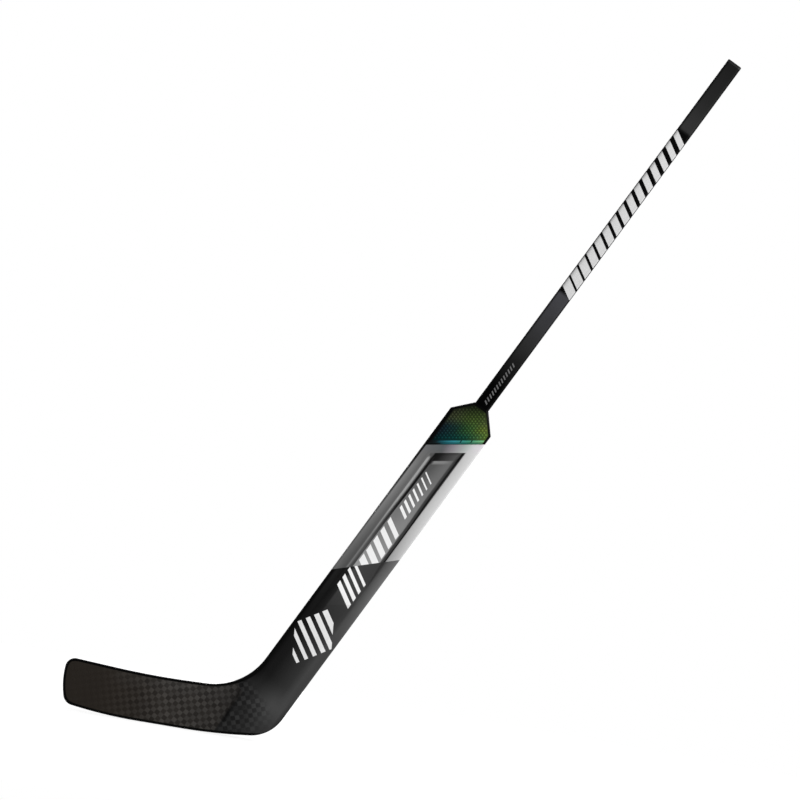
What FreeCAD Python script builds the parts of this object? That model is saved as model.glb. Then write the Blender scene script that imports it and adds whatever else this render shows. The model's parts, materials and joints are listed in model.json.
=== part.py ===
import FreeCAD, Part
import math
import os
from FreeCAD import Vector

# Goalie stick standing in its playing position.
# X runs from the toe to the butt end, Z is up from the ice and the front face looks along -Y.
# The origin is on the ice under the flat part of the sole. Lengths are in millimetres.

# Lie and paddle
lie_deg = 63.0
paddle_width = 88.0
paddle_thickness = 23.0
paddle_edge_thickness = 18.0
paddle_face_share = 0.59
paddle_edge_radius = 3.6
shoulder_from_heel = 673.0
shoulder_length = 33.0
bevel_runout = 80.0
heel_seam_from_heel = 125.0
paddle_skin = 1.6
rail_width = 9.0

# Shaft
shaft_width = 28.0
shaft_thickness = 20.0
shaft_corner_radius = 5.0
shaft_wall = 2.2
butt_from_heel = 1463.0
tenon_depth = 66.0
tenon_block_length = 120.0
shoulder_lip = 0.7
core_to_lip = 12.0
fit_clearance = 0.1

# Butt plug
plug_flange = 5.0
plug_flange_bevel = 1.0
plug_spigot = 38.0
plug_rib_height = 0.6
plug_rib_length = 4.0
plug_rib_count = 4

# Long recess in each face of the paddle
slot_width_share = 0.584
slot_depth = 5.6
slot_wall_run = 7.2
slot_end_run = 12.0
slot_ramp_run = 96.0
slot_below_shoulder = 69.0
slot_bottom_from_heel = 298.0
slot_slant_deg = 36.4
slot_floor_round = 2.0
slot_lip_width = 2.0
slot_lip_depth = 0.7

# Soft panels over the shoulder
grip_below_shoulder = 49.5
grip_margin = 4.4
grip_proud = 0.5
grip_inlay = 0.7

# Blade outline
sole_to_heel = 156.7
sole_to_toe = 218.3
blade_height = 83.2
heel_break_from_sole = 61.4
toe_break_from_sole = 135.5
heel_lift_deg = 6.4
toe_lift_deg = 7.8
heel_rocker_radius = 930.0
toe_rocker_radius = 835.0
heel_radius = 68.0
toe_belly_height_share = 0.606
toe_lower_lean_deg = 13.6
toe_upper_lean_deg = 3.9
toe_belly_radius_share = 1.68
toe_bottom_radius_share = 0.24
toe_top_radius_share = 0.21
top_dip_from_sole = 60.7
top_toe_rise_deg = 3.4
top_heel_rise_deg = 1.5
top_edge_radius = 1500.0
inner_bend_radius = 112.7

# Blade seen from above
blade_root_thickness = 13.4
blade_toe_thickness = 8.6
blade_curve_depth = 16.0
taper_heel_end_from_sole = 128.0
taper_blade_end_from_sole = 44.0
blade_seam_from_sole = 85.0

# Blade layers
blade_skin = 1.5
edge_strip_width = 4.5
toe_strip_length = 34.0
bridge_height = 3.0
bridge_height_share = 0.5
tongue_length = 44.0
tongue_height_share = 0.48
tongue_thickness = 5.0
rim_turn_share = 0.15

# Woven patch over the joint of heel and blade
patch_thickness = 0.6
patch_reach_past_seam = 3.0
patch_top_share = 1.184
patch_slope_deg = 50.7

# Flats that stand for a rounded edge
ease_facets = 3

# Cutters run past the pieces by this much
overrun = 40.0

half_width = paddle_width / 2
half_thickness = paddle_thickness / 2
half_edge = paddle_edge_thickness / 2
half_face = half_width * paddle_face_share
shoulder_top = shoulder_from_heel + shoulder_length
shaft_bottom = shoulder_top - tenon_depth
tube_top = butt_from_heel - plug_flange
reach = butt_from_heel + paddle_width
sin_lie = math.sin(math.radians(lie_deg))
cos_lie = math.cos(math.radians(lie_deg))
slot_top = shoulder_from_heel - slot_below_shoulder
slot_slant = math.tan(math.radians(slot_slant_deg))
slot_square = math.cos(math.radians(slot_slant_deg))

# The paddle is made along X with Z towards the blade, then leaned to the lie
axis_foot = Vector(sole_to_heel - half_width * sin_lie, 0, half_width * cos_lie)
lean = FreeCAD.Placement(axis_foot, FreeCAD.Rotation(Vector(0, 1, 0), -lie_deg))


def leaned(shape):
    placed = shape.copy()
    placed.Placement = lean.multiply(placed.Placement)
    return placed


def meet(p, p_deg, q, q_deg):
    # Where the line through p at p_deg crosses the line through q at q_deg
    pc = math.cos(math.radians(p_deg))
    ps = math.sin(math.radians(p_deg))
    qc = math.cos(math.radians(q_deg))
    qs = math.sin(math.radians(q_deg))
    along = ((q[0] - p[0]) * qs - (q[1] - p[1]) * qc) / (pc * qs - ps * qc)
    return (p[0] + along * pc, p[1] + along * ps)


def corner_arms(corners, i):
    # A corner, and the directions along its two sides
    here = Vector(corners[i][0], corners[i][1], 0)
    following = corners[(i + 1) % len(corners)]
    before = Vector(corners[i - 1][0], corners[i - 1][1], 0) - here
    after = Vector(following[0], following[1], 0) - here
    return here, before.normalize(), after.normalize()


def rounded_loop(corners, radii, place):
    # Closed outline of straight sides with a tangent arc at each corner that has a radius
    stops = []
    for i in range(len(corners)):
        here, before, after = corner_arms(corners, i)
        if radii[i] == 0:
            stops.append((here, here, here))
            continue
        half = before.getAngle(after) / 2
        back = radii[i] / math.tan(half)
        inward = (before + after).normalize()
        middle = here + inward * (radii[i] / math.sin(half) - radii[i])
        stops.append((here + before * back, middle, here + after * back))
    edges = []
    for i in range(len(corners)):
        start, middle, end = [place(v.x, v.y) for v in stops[i]]
        following = stops[(i + 1) % len(corners)][0]
        if radii[i] > 0:
            edges.append(Part.Arc(start, middle, end).toShape())
        edges.append(Part.LineSegment(end, place(following.x, following.y)).toShape())
    return Part.Wire(edges)


def drawn_in(corners, radii, inset):
    # The corners and radii of the same outline, run clockwise, with every side moved inwards
    moved = []
    drawn = []
    for i in range(len(corners)):
        here, before, after = corner_arms(corners, i)
        half = before.getAngle(after) / 2
        inwards = math.copysign(inset, before.cross(after).z)
        corner = here + (before + after).normalize() * (inwards / math.sin(half))
        moved.append((corner.x, corner.y))
        drawn.append(radii[i] - inwards if radii[i] > 0 else 0)
    return moved, drawn


def eased_loop(corners, radii, place):
    # The same outline with flats that touch each arc in its place
    points = []
    for i in range(len(corners)):
        here, before, after = corner_arms(corners, i)
        if radii[i] == 0:
            points.append(here)
            continue
        half = before.getAngle(after) / 2
        inward = (before + after).normalize()
        centre = here + inward * (radii[i] / math.sin(half))
        step = (math.pi - 2 * half) / (ease_facets + 1)
        sense = -math.copysign(1, before.cross(after).z)
        for k in range(ease_facets + 1):
            turn = sense * (k - ease_facets / 2) * step
            away = FreeCAD.Rotation(Vector(0, 0, 1), math.degrees(turn)).multVec(-inward)
            points.append(centre + away * (radii[i] / math.cos(step / 2)))
    placed = [place(v.x, v.y) for v in points]
    return Part.makePolygon(placed + [placed[0]])


def side_view(x, z):
    return Vector(x, 0, z)


def slab(wire, depth):
    # Prism of a side view outline, evenly to both sides of the middle plane
    prism = Part.Face(wire).extrude(Vector(0, 2 * depth, 0))
    prism.translate(Vector(0, -depth, 0))
    return prism


def zone(x0=-reach, x1=reach, y0=-reach, y1=reach, z0=-reach, z1=reach):
    # All the space between the limits that are given
    return Part.makeBox(x1 - x0, y1 - y0, z1 - z0, Vector(x0, y0, z0))


# Paddle body

def paddle_section(station, wide, face, centre, edge, corner):
    corners = [(-wide, -edge), (-face, -centre), (face, -centre), (wide, -edge),
               (wide, edge), (face, centre), (-face, centre), (-wide, edge)]
    radii = [corner, 0, 0, corner, corner, 0, 0, corner]
    return eased_loop(corners, radii, lambda z, y: Vector(station, y, z))


def paddle_body(inset, corner_share):
    # Flat sided at the heel, bevelled rails above it, tapering to the shaft at the shoulder
    wide = half_width - inset
    centre = half_thickness - inset
    edge = half_edge - inset
    corner = paddle_edge_radius * corner_share
    lip_wide = shaft_width / 2 + shoulder_lip - inset
    lip_thick = shaft_thickness / 2 + shoulder_lip - inset
    lip_corner = (shaft_corner_radius + shoulder_lip) * corner_share
    lip_face = (shaft_width - shaft_corner_radius) / 2 / 2
    sections = [
        paddle_section(heel_seam_from_heel, wide, half_face, centre, centre, corner),
        paddle_section(heel_seam_from_heel + bevel_runout, wide, half_face, centre, edge, corner),
        paddle_section(shoulder_from_heel, wide, half_face, centre, edge, corner),
        paddle_section(shoulder_top, lip_wide, lip_face, lip_thick, lip_thick, lip_corner),
    ]
    return Part.makeLoft(sections, True, True)


def shaft_bar(start, end, inset, loop):
    wide = shaft_width / 2 - inset
    thick = shaft_thickness / 2 - inset
    corners = [(-wide, -thick), (wide, -thick), (wide, thick), (-wide, thick)]
    radii = [shaft_corner_radius - inset] * len(corners)
    section = loop(corners, radii, lambda z, y: Vector(start, y, z))
    return Part.Face(section).extrude(Vector(end - start, 0, 0))


def slot_trough(side, grow, lip):
    # Cross-section of the recess, run along the whole paddle: eased lip, sloping walls, rounded floor
    wall_grow = grow * math.hypot(slot_wall_run, slot_depth) / slot_depth
    mouth = half_width * slot_width_share + wall_grow
    depth = slot_depth + grow
    slope = slot_wall_run / slot_depth
    floor = mouth - depth * slope
    lip_z = mouth + lip
    break_z = mouth - slot_lip_depth * slope
    half = [(lip_z, -slot_depth), (lip_z, 0), (break_z, slot_lip_depth), (floor, depth)]
    corners = half + [(-z, level) for z, level in reversed(half)]
    radii = [0, 0, 0, slot_floor_round + grow, slot_floor_round + grow, 0, 0, 0]
    loop = rounded_loop(corners, radii, lambda z, level: Vector(0, side * (half_thickness - level), z))
    return Part.Face(loop).extrude(Vector(reach, 0, 0))


def slot_length(side, grow, lip):
    # Side view of the recess, run across the paddle at the slant: a long ramp below, a short wall above
    ramp = slot_ramp_run / slot_depth
    wall = slot_end_run / slot_square / slot_depth
    bottom = slot_bottom_from_heel - grow * math.hypot(ramp, 1)
    top = slot_top + grow * math.hypot(wall, 1)
    lip_top = top + lip / slot_square
    deep = slot_depth * 2
    corners = [(bottom - ramp * slot_depth, -slot_depth), (bottom + ramp * deep, deep),
               (top - wall * deep, deep), (top - wall * slot_lip_depth, slot_lip_depth),
               (lip_top, 0), (lip_top, -slot_depth)]
    shift = paddle_width * slot_slant
    points = [Vector(x + shift, side * (half_thickness - level), -paddle_width) for x, level in corners]
    loop = Part.makePolygon(points + [points[0]])
    return Part.Face(loop).extrude(Vector(-2 * shift, 0, 2 * paddle_width))


def slot_cutter(side):
    return slot_trough(side, 0, slot_lip_width).common(slot_length(side, 0, slot_lip_width))


def slot_bed(side):
    return slot_trough(side, paddle_skin, 0).common(slot_length(side, paddle_skin, 0))


front, rear = -1, 1
slots = slot_cutter(front).fuse(slot_cutter(rear))
beds = slot_bed(front).fuse(slot_bed(rear))
shaft_solid = shaft_bar(shaft_bottom, reach, 0, rounded_loop)
paddle_outer = paddle_body(0, 1).cut(slots).cut(shaft_solid)
paddle_hollow = paddle_body(paddle_skin, 0).common(zone(x1=shoulder_top - core_to_lip))


def grip_outline():
    # The shoulder's own outline drawn in by the margin, above a slanted lower edge
    lip_wide = shaft_width / 2 + shoulder_lip
    half = [(heel_seam_from_heel, half_width), (shoulder_from_heel, half_width), (shoulder_top, lip_wide)]
    points = [side_view(x, z) for x, z in half] + [side_view(x, -z) for x, z in reversed(half)]
    shoulder = Part.Face(Part.makePolygon(points + [points[0]]))
    prism = slab(shoulder.makeOffset2D(-grip_margin, 2).OuterWire, paddle_width)
    below = zone(x1=0)
    below.rotate(Vector(0, 0, 0), Vector(0, 1, 0), -slot_slant_deg)
    below.translate(Vector(shoulder_from_heel - grip_below_shoulder, 0, 0))
    return prism.cut(below)


grip_layer = paddle_body(-grip_proud, 0).cut(paddle_body(grip_inlay, 0))
grip_layer = grip_layer.common(grip_outline()).cut(shaft_solid)

# Heel and blade

inner_foot = (sole_to_heel - paddle_width * sin_lie, paddle_width * cos_lie)
heel_break = (heel_break_from_sole, 0)
toe_break = (-toe_break_from_sole, 0)
toe_belly = (-sole_to_toe, blade_height * toe_belly_height_share)
top_dip = (-top_dip_from_sole, blade_height)
heel_corner = meet(heel_break, heel_lift_deg, (sole_to_heel, 0), lie_deg)
toe_bottom = meet(toe_break, -toe_lift_deg, toe_belly, toe_lower_lean_deg - 90)
toe_top = meet(toe_belly, 90 - toe_upper_lean_deg, top_dip, -top_toe_rise_deg)
inner_bend = meet(top_dip, top_heel_rise_deg, inner_foot, lie_deg)
end_station = heel_seam_from_heel + overrun
outer_end = (sole_to_heel + end_station * cos_lie, end_station * sin_lie)
inner_end = (inner_foot[0] + end_station * cos_lie, inner_foot[1] + end_station * sin_lie)
# The round under the toe takes no more of its side than the rocker leaves
toe_rocker_half = toe_rocker_radius * math.tan(math.radians(toe_lift_deg / 2))
toe_bottom_room = math.dist(toe_break, toe_bottom) - toe_rocker_half - fit_clearance
toe_bottom_half_deg = (90 + toe_lift_deg + toe_lower_lean_deg) / 2
toe_bottom_most = toe_bottom_room * math.tan(math.radians(toe_bottom_half_deg))
toe_bottom_radius = min(blade_height * toe_bottom_radius_share, toe_bottom_most)
blade_corners = [outer_end, heel_corner, heel_break, toe_break, toe_bottom,
                 toe_belly, toe_top, top_dip, inner_bend, inner_end]
blade_radii = [0, heel_radius, heel_rocker_radius, toe_rocker_radius, toe_bottom_radius,
               blade_height * toe_belly_radius_share, blade_height * toe_top_radius_share,
               top_edge_radius, inner_bend_radius, 0]


def taper_side(side, inset):
    # One face seen from above: straight at the heel, an even double curve, then the blade's long arc
    heel_y = half_thickness - inset
    root_y = blade_root_thickness / 2 - inset
    toe_y = blade_toe_thickness / 2 - inset
    run = taper_heel_end_from_sole - taper_blade_end_from_sole
    drop = heel_y - root_y
    bend = (run ** 2 + drop ** 2) / (4 * drop)
    half_turn = math.asin(run / (2 * bend)) / 2
    near_x = bend * math.sin(half_turn)
    near_y = bend * (1 - math.cos(half_turn))
    middle = ((taper_heel_end_from_sole + taper_blade_end_from_sole) / 2, (heel_y + root_y) / 2)
    length = taper_blade_end_from_sole + sole_to_toe
    rise = blade_curve_depth + side * (toe_y - root_y)
    sweep = (length ** 2 + rise ** 2) / (2 * rise)
    end_turn = math.asin((length + overrun) / sweep)

    def on_sweep(turn):
        x = taper_blade_end_from_sole - sweep * math.sin(turn)
        return Vector(x, side * root_y + sweep * (1 - math.cos(turn)), 0)

    far = Vector(reach, side * heel_y, 0)
    start = Vector(taper_heel_end_from_sole, side * heel_y, 0)
    high = Vector(taper_heel_end_from_sole - near_x, side * (heel_y - near_y), 0)
    between = Vector(middle[0], side * middle[1], 0)
    low = Vector(taper_blade_end_from_sole + near_x, side * (root_y + near_y), 0)
    return [
        Part.LineSegment(far, start).toShape(),
        Part.Arc(start, high, between).toShape(),
        Part.Arc(between, low, on_sweep(0)).toShape(),
        Part.Arc(on_sweep(0), on_sweep(end_turn / 2), on_sweep(end_turn)).toShape(),
    ]


def blade_envelope(inset):
    front_side = taper_side(front, inset)
    rear_side = taper_side(rear, inset)
    ends = []
    for end in (front_side[0].Vertexes[0], front_side[-1].Vertexes[-1]):
        across = min(rear_side[0].Vertexes + rear_side[-1].Vertexes, key=lambda v: abs(v.X - end.X))
        ends.append(Part.LineSegment(end.Point, across.Point).toShape())
    wire = Part.Wire(Part.__sortEdges__(front_side + rear_side + ends))
    prism = Part.Face(wire).extrude(Vector(0, 0, reach))
    prism.translate(Vector(0, 0, -overrun))
    return prism


def outline_slab(inset):
    corners, radii = drawn_in(blade_corners, blade_radii, inset)
    return slab(rounded_loop(corners, radii, side_view), paddle_width)


def heel_and_blade(inset):
    return outline_slab(inset).common(blade_envelope(inset)).Solids[0]


def rim_edges(body, inset):
    # Edges where the surface turns, all but those at the cut end in the paddle
    end_zone = leaned(zone(x0=end_station - inset - fit_clearance))
    edges = []
    for edge in body.Edges:
        middle = edge.valueAt((edge.FirstParameter + edge.LastParameter) / 2)
        faces = body.ancestorsOfType(edge, Part.Face)
        tilts = [abs(f.normalAt(*f.Surface.parameter(f.CenterOfMass)).y) for f in faces]
        turns = max(tilts) - min(tilts) > rim_turn_share
        if turns and not end_zone.isInside(middle, fit_clearance / 2, True):
            edges.append(edge)
    return edges


def eased_rim(body, inset):
    # Three flats that touch a quarter circle: one at 45 degrees, then one to either side of it
    radius = paddle_edge_radius - inset
    first = radius * (2 - math.sqrt(2))
    second = radius * (math.sqrt(2) - 1 - math.tan(math.pi / 16))
    body = body.makeChamfer(first, rim_edges(body, inset))
    return body.makeChamfer(second, rim_edges(body, inset))


below_seam = leaned(zone(x1=heel_seam_from_heel))
blade_side = zone(x1=blade_seam_from_sole)
lower_body = eased_rim(heel_and_blade(0), 0).common(below_seam)
blade_outer = lower_body.common(blade_side)
heel_outer = lower_body.cut(blade_side)
heel_hollow = heel_and_blade(paddle_skin).common(below_seam).cut(blade_side)

patch_side = zone(x1=0)
patch_side.rotate(Vector(0, 0, 0), Vector(0, 1, 0), patch_slope_deg - 90)
patch_corner_x = blade_seam_from_sole + patch_reach_past_seam
patch_side.translate(Vector(patch_corner_x, 0, blade_height * patch_top_share))
patch_bed = eased_rim(heel_and_blade(patch_thickness), patch_thickness)
heel_patch = heel_outer.cut(patch_bed).common(patch_side)

front_half = zone(y1=0)
rear_half = zone(y0=0)

nodes = {}

# Shell, liners, grips and patches
shell = paddle_outer.cut(beds).cut(paddle_hollow).cut(grip_layer)
shell = leaned(shell).fuse(heel_outer.cut(heel_hollow).cut(heel_patch)).removeSplitter()
nodes["paddle_shell_front"] = shell.common(front_half)
nodes["paddle_shell_rear"] = shell.common(rear_half)
liners = leaned(paddle_outer.common(beds))
nodes["slot_liner_front"] = liners.common(front_half)
nodes["slot_liner_rear"] = liners.common(rear_half)
grips = leaned(grip_layer)
nodes["shoulder_grip_front"] = grips.common(front_half)
nodes["shoulder_grip_rear"] = grips.common(rear_half)
nodes["heel_wrap_front"] = heel_patch.common(front_half)
nodes["heel_wrap_rear"] = heel_patch.common(rear_half)

# Paddle inside
rail_inner_z = half_width - paddle_skin - rail_width
inner_zone = zone(x1=shoulder_from_heel, z0=rail_inner_z)
outer_zone = zone(x1=shoulder_from_heel, z1=-rail_inner_z)
nodes["paddle_rail_inner"] = leaned(paddle_hollow.common(inner_zone))
nodes["paddle_rail_outer"] = leaned(paddle_hollow.common(outer_zone))
core = paddle_hollow.cut(inner_zone).cut(outer_zone).cut(beds).cut(shaft_solid).cut(grip_layer)
nodes["paddle_core"] = leaned(core)

# Shaft
bore = shaft_bar(shaft_bottom, reach, shaft_wall, rounded_loop)
nodes["shaft_tube"] = leaned(shaft_bar(shaft_bottom, tube_top, 0, rounded_loop).cut(bore))
inside_fit = shaft_wall + fit_clearance
tenon_top = shaft_bottom + tenon_block_length
nodes["tenon_insert"] = leaned(shaft_bar(shaft_bottom, tenon_top, inside_fit, eased_loop))
flange = shaft_bar(tube_top, butt_from_heel, 0, rounded_loop)
flange_edges = [e for e in flange.Edges if e.BoundBox.XMin > butt_from_heel - fit_clearance]
plug = flange.makeChamfer(plug_flange_bevel, flange_edges)
plug = plug.fuse(shaft_bar(tube_top - plug_spigot, tube_top, inside_fit + plug_rib_height, eased_loop))
for i in range(plug_rib_count):
    rib_top = tube_top - i * plug_spigot / plug_rib_count
    plug = plug.fuse(shaft_bar(rib_top - plug_rib_length, rib_top, inside_fit, eased_loop))
nodes["butt_end_plug"] = leaned(plug.removeSplitter())

# Heel block with its tongue in the blade
bridge_z = blade_height * bridge_height_share
tongue_half = blade_height * tongue_height_share / 2
tongue = zone(x0=blade_seam_from_sole - tongue_length, x1=blade_seam_from_sole,
              y0=-tongue_thickness / 2, y1=tongue_thickness / 2,
              z0=bridge_z - tongue_half, z1=bridge_z + tongue_half)
nodes["heel_block"] = heel_hollow.fuse(tongue).removeSplitter()

# Blade skins, edge strips, bridge and cores
middle_layer = blade_outer.common(blade_envelope(blade_skin))
skins = blade_outer.cut(blade_envelope(blade_skin))
nodes["blade_skin_front"] = min(skins.Solids, key=lambda s: s.CenterOfMass.y)
nodes["blade_skin_rear"] = max(skins.Solids, key=lambda s: s.CenterOfMass.y)
inside = outline_slab(edge_strip_width)
strips = middle_layer.cut(inside)
toe_zone = zone(x1=toe_strip_length - sole_to_toe)
upper_zone = zone(z0=bridge_z)
nodes["toe_edge_strip"] = strips.common(toe_zone)
nodes["top_edge_strip"] = strips.cut(toe_zone).common(upper_zone)
nodes["sole_edge_strip"] = strips.cut(toe_zone).cut(upper_zone)
cores = middle_layer.common(inside).cut(tongue)
bridge_zone = zone(z0=bridge_z - bridge_height / 2, z1=bridge_z + bridge_height / 2)
nodes["blade_bridge"] = cores.common(bridge_zone)
nodes["blade_core_upper"] = cores.cut(bridge_zone).common(upper_zone)
nodes["blade_core_lower"] = cores.cut(bridge_zone).cut(upper_zone)

os.makedirs("parts", exist_ok=True)
for name, shape in nodes.items():
    print(name, len(shape.Solids), shape.isValid(), round(shape.Volume))
    shape.Solids[0].exportStep("parts/" + name + ".step")
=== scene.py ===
"""Hockey goalie stick: finishes, grip dots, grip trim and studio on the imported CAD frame.

Lengths are metres in the row frame. A place on the paddle or the shaft is given by its
height up the axis from the heel and by its offset across, positive towards the blade.
"""
import json
import math

import bmesh
import bpy
from mathutils import Matrix, Vector
from mathutils.bvhtree import BVHTree


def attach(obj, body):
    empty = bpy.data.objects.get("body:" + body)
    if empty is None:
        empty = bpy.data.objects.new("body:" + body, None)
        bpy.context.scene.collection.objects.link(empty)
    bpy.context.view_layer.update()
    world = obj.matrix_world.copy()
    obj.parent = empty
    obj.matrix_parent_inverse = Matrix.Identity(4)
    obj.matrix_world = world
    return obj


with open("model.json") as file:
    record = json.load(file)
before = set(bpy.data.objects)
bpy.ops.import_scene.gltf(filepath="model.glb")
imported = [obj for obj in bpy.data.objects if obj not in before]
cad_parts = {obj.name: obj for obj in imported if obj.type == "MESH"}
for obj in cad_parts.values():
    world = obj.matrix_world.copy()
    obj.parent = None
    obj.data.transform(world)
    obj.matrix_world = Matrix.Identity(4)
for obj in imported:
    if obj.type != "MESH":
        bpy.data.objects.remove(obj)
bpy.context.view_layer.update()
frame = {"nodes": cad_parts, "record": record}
nodes = frame["nodes"]
scene = bpy.context.scene

# Axis of paddle and shaft
mounts = {mount["name"]: mount for mount in frame["record"]["mounts"]}
BUTT_HEIGHT = 1.463
UP_AXIS = Vector(mounts["butt_end"]["axis"])
ACROSS = Vector((-UP_AXIS.z, 0.0, UP_AXIS.x))
HEEL = Vector(mounts["butt_end"]["pos_m"]) - UP_AXIS * BUTT_HEIGHT

# Slant of the recess and of the grip's lower edge
SLOT_SLANT = math.tan(math.radians(36.4))
SLOT_SQUARE = math.cos(math.radians(36.4))

# Paddle paints: heights between which one passes into the next
BLACK_PAINT_TOP = 0.359
BLACK_PAINT_SLANT = 0.974
LOW_BLACK_TO_HIGH = (0.18, 0.34)
BLACK_TO_HEEL = (0.105, 0.055)
SILVER_TO_MIDDLE = (0.34, 0.52)
SILVER_TO_HIGH = (0.575, 0.606)
SILVER_TO_PEARL = (0.597, 0.621)
PAINT_EDGE_SOFT = 0.0004

# Dark line along the edge of the paddle on the blade side, partly black edge and partly painted shade away
# from the lamp
EDGE_LINE = 0.0410
EDGE_LINE_SOFT = 0.0006
EDGE_LINE_WIDENING = 0.0012
EDGE_LINE_BOTTOM = 0.120
EDGE_LINE_BOTTOM_SOFT = 0.002

# Recess: offsets and heights where its walls and ends begin
SLOT_LIP = (0.0249, 0.0257)
SLOT_LIP_TOP = (0.6045, 0.6055)
SLOT_SILL = (0.5775, 0.5835)
SLOT_END = (0.5860, 0.5880)
SLOT_WALL_WIDENING = 0.0020

# Grip
GRIP_BOTTOM = 0.6235
GRIP_EDGE_SOFT = 0.0005
GRIP_HALF_WIDTH = 0.0395
DOT_PITCH = 0.0062
DOT_ROW_RISE = 0.00413
DOT_ROWS = 26
DOT_COLUMNS = 14
DOT_RADIUS = 0.0019
DOT_HEIGHT = 0.0008
DOT_MARGIN = 0.0006
DOT_CORNERS = 10
DOT_RINGS = ((1.0, -0.15), (0.88, 0.42), (0.55, 0.84))
TRIM_RIBS = ((0.0004, 0.0031, 0.0004), (0.0034, 0.0072, 0.0007))
TRIM_NOTCHES = (-0.0061, -0.0214)
TRIM_NOTCH_WIDTH = 0.0016
TRIM_BOTTOM = 0.0004
TRIM_TOP = 0.0076
TRIM_SINK = 0.0001
TRIM_WIDTH_SHARE = 0.985
TRIM_COLUMNS = 180
TRIM_ROWS = 24

# Rays that find the surface of the grip start outside it and stop short of the middle plane
RAY_START = 0.05
RAY_REACH = 0.049

# Printed bars: first edge, pitch, count, and share of the pitch at the first and the last bar
BAR_SLOPE = -0.57
BAR_SOFT = 0.0006
PRINT_WHITE = 243
PRINT_END_SOFT = 0.0005
PADDLE_UPPER_BARS = (0.289, 0.0158, 4, 0.62, 0.40)
PADDLE_UPPER_REACH = (-0.021, 0.020)
PADDLE_LOWER_BARS = (0.148, 0.0182, 6, 0.40, 0.66)
PADDLE_LOWER_MIDDLE = 0.2025
PADDLE_LOWER_REACH = (0.0405, 0.0395)
PADDLE_LOWER_POINT = 0.62
SLOT_WIDE_BARS = (0.350, 0.0212, 5, 0.72, 0.50)
SLOT_WIDE_REACH = (-0.0165, 0.0145)
SLOT_THIN_BARS = (0.469, 0.0128, 7, 0.54, 0.26)
SLOT_THIN_REACH = (-0.0085, 0.0115)
SHAFT_DASHES = (0.716, 0.0068, 13, 0.5, 0.5)
SHAFT_DASH_REACH = (-0.0045, 0.0022)
SHAFT_BARS = (0.957, 0.0236, 15, 0.82, 0.56)
SHAFT_BAR_REACH = (-0.0127, 0.0127)
SHAFT_PRINT_SOFT = 0.0003

# Blade rim: corners as (x, z) in the side view and the slopes of its runs in degrees
SOLE_TOE_BREAK = (-0.1355, 0.0)
SOLE_TOE_LIFT = 7.8
SOLE_HEEL_BREAK = (0.0614, 0.0)
SOLE_HEEL_LIFT = 6.4
TOE_BELLY = (-0.2183, 0.0504)
TOE_LOWER_LEAN = 13.6
TOE_UPPER_LEAN = 3.9
TOP_DIP = (-0.0607, 0.0832)
TOP_TOE_RISE = 3.4
TOP_HEEL_RISE = 1.5
BEND_CENTRE = (0.0325, 0.1984)
BEND_RADIUS = 0.1127
BEND_START_X = 0.0355
BEND_END_HEIGHT = 0.1204
BEND_END_SOFT = 0.002

# How far the runs of the rim are rounded into each other
SOLE_TOE_ROUND = 0.0116
SOLE_HEEL_ROUND = 0.0087
TOE_BELLY_ROUND = 0.0098
TOP_DIP_ROUND = 0.0082
TOE_BOTTOM_ROUND = 0.021
TOE_TOP_ROUND = 0.0235

# Black line along the rim
RIM_LINE = 0.0046
RIM_LINE_SOFT = 0.0005
RIM_LINE_END_X = 0.145
RIM_LINE_END_SOFT = 0.006
BEND_LINE = 0.0042
BEND_LINE_WIDENING = 0.0030
BEND_LINE_SOFT = 0.0012

# Weave
TOW = 0.0080
FIBRE = 0.0006
FIBRE_STRETCH = 0.12
CROSSING_SOFT = 0.2
FOLD = 0.0420
FOLD_SOFT = 0.0015
BLADE_TURN = math.radians(61.0)
BLADE_FIRST = (math.cos(BLADE_TURN), 0.0, math.sin(BLADE_TURN))
BLADE_SECOND = (-math.sin(BLADE_TURN), 0.0, math.cos(BLADE_TURN))
BIAS_FIRST = (UP_AXIS + ACROSS).normalized()
BIAS_SECOND = (UP_AXIS - ACROSS).normalized()

# Cloth of the blade: x, level, swing between its two directions as painted sheen, warm cast
BLADE_TOWS = (
    (-0.20, 43.5, 0.5, 5), (-0.15, 44.5, 1.5, 5), (-0.115, 48.5, 5.5, 5), (-0.085, 50, 8, 4.5),
    (-0.03, 64.5, 12.5, 3.5), (0.07, 56.5, 11, 2.5), (0.095, 46.5, 9, 2),
)

# Camera
CAMERA_ROLL = math.radians(9.4)
CAMERA_AIM = Vector((0.2938, 0.0, 0.637))
FRAME_WIDTH = 1.4194
FRAME_PIXELS = 800
LENS = 300.0
SENSOR = 36.0
VIEW_END = 50.0

# Studio
LAMP_WIDTH = 1.6
LAMP_HEIGHT = 2.0
KEY_OFFSET = Vector((2.5, -1.7, 0.6))
KEY_POWER = 87.5
FILL_OFFSET = Vector((0.4, 3.0, 0.6))
FILL_POWER = 60.0
WORLD_LEVEL = 0.69
FLOOR_PLACE = (0.29, 0.0, -0.0004)
FLOOR_RADIUS = 2.2
FLOOR_CORNERS = 96
FLOOR_TONE = (0.336, 0.336, 0.336, 1.0)
FLOOR_GLOW = 0.74
CARD_PLACE = (0.29, -5.0, 0.9)
CARD_SCALE = (4.0, 3.2, 1.0)
CARD_FADE = (0.05, 0.6)
CARD_GLOW = (0.03, 0.9)
WHITE = (1.0, 1.0, 1.0, 1.0)
X_AXIS = (1.0, 0.0, 0.0)
ORIGIN = (0.0, 0.0, 0.0)


def linear(level):
    """A screen level, 0 to 255, as a linear value."""
    share = level / 255
    if share <= 0.04045:
        return share / 12.92
    return ((share + 0.055) / 1.055) ** 2.4


def tone(level):
    """A grey level or a red, green and blue triple of levels as a linear colour."""
    levels = level if isinstance(level, tuple) else (level, level, level)
    return tuple(linear(part) for part in levels) + (1.0,)


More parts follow.
